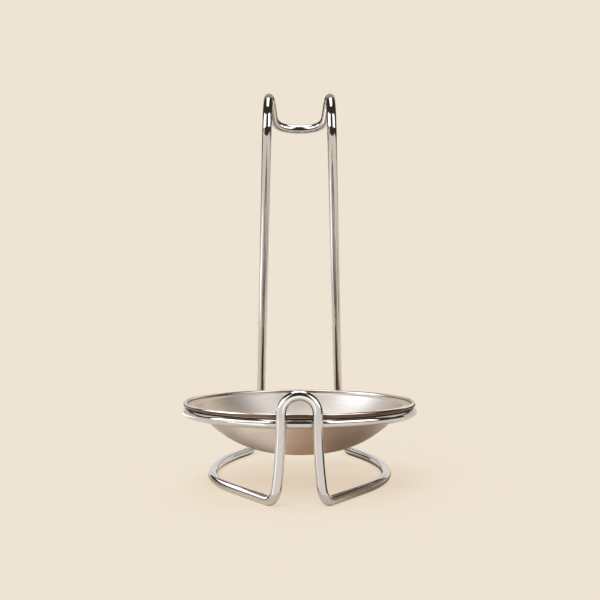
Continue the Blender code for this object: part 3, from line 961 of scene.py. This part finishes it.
def room(finish):
    """A plain room. The metal sees it dim, the floor gets an even light from it, the camera sees paper."""
    world = bpy.data.worlds.new("Studio room")
    bpy.context.scene.world = world
    world.use_nodes = True
    world.cycles.sampling_method = "NONE"
    tree = world.node_tree
    tree.nodes.clear()
    mirrored = add(tree, "ShaderNodeBackground", {"Color": opaque(finish.room)})
    even = add(tree, "ShaderNodeBackground", {"Color": opaque((1.0, 1.0, 1.0)), "Strength": SKY_SHARE})
    paper = add(tree, "ShaderNodeBackground", {"Color": opaque(finish.paper)})
    rays = add(tree, "ShaderNodeLightPath").outputs
    shown = add(tree, "ShaderNodeMixShader", {0: rays["Is Glossy Ray"], 1: even, 2: mirrored})
    shown = add(tree, "ShaderNodeMixShader", {0: rays["Is Camera Ray"], 1: shown, 2: paper})
    add(tree, "ShaderNodeOutputWorld", {"Surface": shown})


def soft_lamp(name, way, share):
    """A wide lamp that shines the given way, with its share of the floor's light."""
    way = Vector(way).normalized()
    lamp = bpy.data.lights.new(name, "SUN")
    lamp.angle = LAMP_SPREAD
    lamp.energy = math.pi * share / -way.z
    sun = new_object(name, lamp)
    sun.rotation_euler = way.to_track_quat("-Z", "Y").to_euler()
    sun.visible_glossy = False


def photo_camera():
    """A long lens before the stand, level with the upper half of the uprights."""
    camera = bpy.data.cameras.new("Camera")
    camera.lens = LENS
    camera.sensor_width = SENSOR
    camera.clip_start = CAMERA_CLIP
    viewer = new_object("Camera", camera)
    viewer.location = CAMERA_PLACE
    viewer.rotation_euler = (math.radians(90.0 - CAMERA_DIP), 0.0, 0.0)
    bpy.context.scene.camera = viewer


# Operators


class LADLEREST_OT_wire_stand(Operator):
    """Bend the stand from one closed loop of chromed wire"""

    bl_idname = "ladle_rest.wire_stand"
    bl_label = "Wire Stand"

    def execute(self, context):
        wire, finish = context.scene.ladle_rest_wire, context.scene.ladle_rest_finish
        plate = {"roughness": 0.05, "haze": 0.10, "ripple": 0.000005}
        chrome = chrome_plate("Bright chrome plate", finish.chrome, **plate)
        for name, path, node in (
            ("chrome_wire_frame", stand_path(wire), "wire_frame"),
            ("chrome_bowl_ring", ring_path(wire), "bowl_ring"),
        ):
            piece = shape_piece(
                name,
                mesh_of_path(path, closed=True),
                wire_tree(),
                wire_radius=wire.diameter / 2,
                sides=WIRE_SIDES,
                spacing=WIRE_SPACING,
                easing=BEND_EASING,
                finish=chrome,
            )
            settle(piece, "stand", "chrome_wire", node)
        return {"FINISHED"}


class LADLEREST_OT_ring_welds(Operator):
    """Weld the ring to the two legs of the arch"""

    bl_idname = "ladle_rest.ring_welds"
    bl_label = "Ring Welds"

    def execute(self, context):
        wire, finish = context.scene.ladle_rest_wire, context.scene.ladle_rest_finish
        plate = {"roughness": 0.14, "haze": 0.30, "ripple": 0.00012}
        plated = chrome_plate("Chrome plate over weld metal", finish.weld, **plate)
        for hand, side in HANDS:
            mesh = weld_mesh(wire, side)
            mesh.materials.append(plated)
            weld = new_object(f"plated_{hand}_weld", mesh)
            settle(weld, "stand", "plated_weld", f"{hand}_ring_weld")
        return {"FINISHED"}


class LADLEREST_OT_drip_bowl(Operator):
    """Turn the drip bowl from brushed steel sheet"""

    bl_idname = "ladle_rest.drip_bowl"
    bl_label = "Drip Bowl"

    def execute(self, context):
        scene = context.scene
        sizes = scene.ladle_rest_bowl
        section = bowl_section(scene.ladle_rest_wire, sizes)
        bead_start = sizes.rim_radius - sizes.bead_diameter
        bead_height = max(height for radius, height in section) - sizes.bead_diameter / 2
        bowl = shape_piece(
            "brushed_drip_bowl",
            mesh_of_path([(radius, 0.0, height) for radius, height in section], closed=False),
            turned_tree(),
            steps=BOWL_STEPS,
            finish=brushed_steel(scene.ladle_rest_finish, bead_start, bead_height),
        )
        settle(bowl, "bowl", "brushed_bowl", "drip_bowl")
        return {"FINISHED"}


class LADLEREST_OT_stage(Operator):
    """Set the paper floor, the boards that the metal mirrors, the light of the room and the camera"""

    bl_idname = "ladle_rest.stage"
    bl_label = "Stage"

    def execute(self, context):
        finish = context.scene.ladle_rest_finish
        wire = bpy.data.objects["chrome_wire_frame"]
        paper_floor(finish)
        front_boards()
        side_boards(wire)
        backdrops()
        top_boards()
        low_cards(wire)
        bar_cards(wire)
        ring_boards(bpy.data.objects["chrome_bowl_ring"])
        bowl_boards(bpy.data.objects["brushed_drip_bowl"])
        soft_lamp("Front lamp", FRONT_WAY, FRONT_SHARE)
        soft_lamp("Back lamp", BACK_WAY, BACK_SHARE)
        room(finish)
        photo_camera()
        context.scene.view_settings.view_transform = "Standard"
        return {"FINISHED"}


class LADLEREST_PT_sidebar(Panel):
    """Lists the steps that make the ladle rest"""

    bl_idname = "LADLEREST_PT_sidebar"
    bl_label = "Ladle Rest"
    bl_space_type = "VIEW_3D"
    bl_region_type = "UI"
    bl_category = "Ladle Rest"

    def draw(self, context):
        for step in STEPS:
            self.layout.operator(step.bl_idname)
        for group in GROUPS:
            settings = getattr(context.scene, group)
            column = self.layout.column(align=True)
            for name in settings.bl_rna.properties.keys():
                if name not in {"rna_type", "name"}:
                    column.prop(settings, name)


GROUPS = {
    "ladle_rest_wire": LadleRestWire,
    "ladle_rest_bowl": LadleRestBowl,
    "ladle_rest_finish": LadleRestFinish,
}
STEPS = (LADLEREST_OT_wire_stand, LADLEREST_OT_ring_welds, LADLEREST_OT_drip_bowl, LADLEREST_OT_stage)
CLASSES = (*GROUPS.values(), *STEPS, LADLEREST_PT_sidebar)


def register():
    for item in CLASSES:
        bpy.utils.register_class(item)
    for name, group in GROUPS.items():
        setattr(bpy.types.Scene, name, PointerProperty(type=group))


def unregister():
    for name in GROUPS:
        delattr(bpy.types.Scene, name)
    for item in reversed(CLASSES):
        bpy.utils.unregister_class(item)


def main():
    register()
    bpy.ops.ladle_rest.wire_stand()
    bpy.ops.ladle_rest.ring_welds()
    bpy.ops.ladle_rest.drip_bowl()
    bpy.ops.ladle_rest.stage()


if __name__ == "__main__":
    main()
